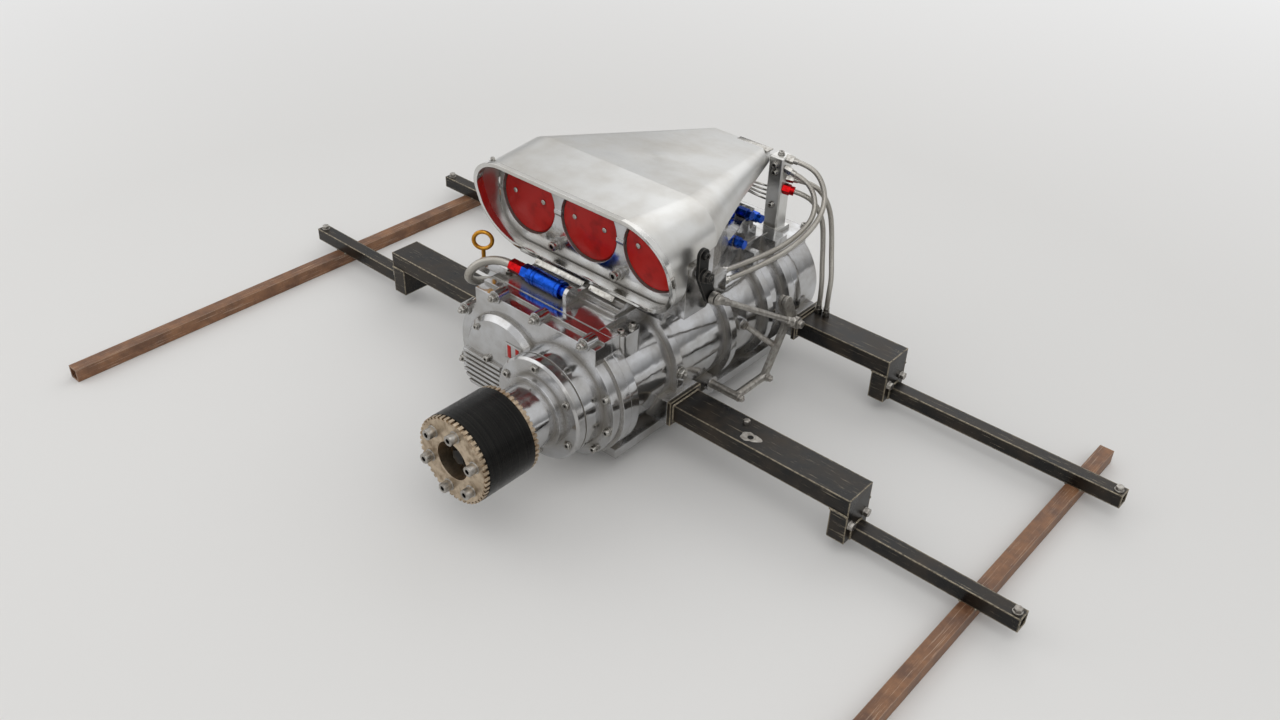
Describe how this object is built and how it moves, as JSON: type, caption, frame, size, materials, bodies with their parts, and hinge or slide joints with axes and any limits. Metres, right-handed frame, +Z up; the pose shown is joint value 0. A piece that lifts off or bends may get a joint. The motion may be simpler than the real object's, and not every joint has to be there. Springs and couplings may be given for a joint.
{
  "type": "supercharger with intake scoop",
  "caption": "Roots supercharger with a cog drive pulley, butterfly intake scoop and throttle linkage, on its support cradle of box arms and rails.",
  "frame": {"origin": "centre of the footprint, on the plane of the rails' undersides", "axes": "+X to the driver's side, +Y to the rear of the car, +Z up; the pulley faces -Y"},
  "size_m": [1.298, 0.865, 0.3661],
  "materials": {
    "polished": "mirror-polished cast aluminium",
    "brushed": "satin brushed aluminium sheet",
    "machined": "raw machined aluminium",
    "sleeve_black": "satin black belt sleeve",
    "shaft_steel": "ground steel",
    "rotor_metal": "machined aluminium rotor",
    "arm_black": "scratched satin black paint",
    "bar_black": "satin black paint",
    "rail_brown": "brown primer over steel, worn",
    "butterfly_red": "red enamel",
    "linkage_steel": "zinc-plated steel",
    "lever_black": "black oxide steel",
    "hose_braid": "braided stainless steel over rubber",
    "anodised_blue": "blue anodised aluminium",
    "anodised_red": "red anodised aluminium",
    "anodised_gold": "gold anodised ring"
  },
  "bodies": {
    "assembly": {"rail_left": "rail_brown", "rail_right": "rail_brown", "crossbar_front_left": "bar_black", "crossbar_front_right": "bar_black", "crossbar_rear_left": "bar_black", "crossbar_rear_right": "bar_black", "arm_front_left": "arm_black", "arm_front_right": "arm_black", "arm_rear_left": "arm_black", "arm_rear_right": "arm_black", "blower_case": "polished", "front_cover": "polished", "rear_cover": "polished", "rear_cap_left": "polished", "rear_cap_right": "polished", "snout_nose": "polished", "snout_retainer": "polished", "snout_barrel": "polished", "hat_base": "polished", "injector_body": "polished", "scoop": "brushed", "linkage_bracket": "linkage_steel", "fuel_block": "polished", "hose_side_upper": "hose_braid", "hose_side_lower": "hose_braid", "hose_rear_inner": "hose_braid", "hose_rear_outer": "hose_braid", "hose_feed": "hose_braid", "hose_ends": "linkage_steel", "fittings_red": "anodised_red", "fittings_blue": "anodised_blue", "pull_ring": "anodised_gold"},
    "drive_train": {"drive_shaft": "shaft_steel", "cog_pulley": "machined", "pulley_sleeve": "sleeve_black", "rotor_drive": "rotor_metal"},
    "driven_rotor": {"rotor_driven": "rotor_metal"},
    "throttle": {"throttle_shaft": "shaft_steel", "butterfly_left": "butterfly_red", "butterfly_middle": "butterfly_red", "butterfly_right": "butterfly_red", "throttle_lever": "lever_black"},
    "link": {"link_rod": "linkage_steel"},
    "relay": {"relay_lever": "linkage_steel"}
  },
  "joints": [
    {"name": "pulley_spin", "type": "hinge", "parent": "assembly", "child": "drive_train", "pos_m": [0.052, -0.2675, 0.114], "axis": [0, 1, 0], "continuous": true},
    {"name": "driven_rotor_spin", "type": "hinge", "parent": "assembly", "child": "driven_rotor", "pos_m": [-0.052, -0.0505, 0.114], "axis": [0, 1, 0], "continuous": true},
    {"name": "throttle_open", "type": "hinge", "parent": "assembly", "child": "throttle", "pos_m": [0.182, 0.0285, 0.297], "axis": [-1, 0, 0], "range_deg": [0, 75], "stiffness_Nm_per_rad": 0.02},
    {"name": "link_swing", "type": "hinge", "parent": "throttle", "child": "link", "pos_m": [0.182, 0.04691, 0.25925], "axis": [-1, 0, 0], "range_deg": [-80, 5]},
    {"name": "relay_swing", "type": "hinge", "parent": "assembly", "child": "relay", "pos_m": [0.182, 0.2265, 0.169], "axis": [-1, 0, 0], "range_deg": [-5, 80]}
  ],
  "couplings": [
    {"joint": "driven_rotor_spin", "follows": "pulley_spin", "ratio": -1},
    {"joint": "link_swing", "follows": "throttle_open", "ratio": -1},
    {"joint": "relay_swing", "follows": "throttle_open", "ratio": 1}
  ]
}
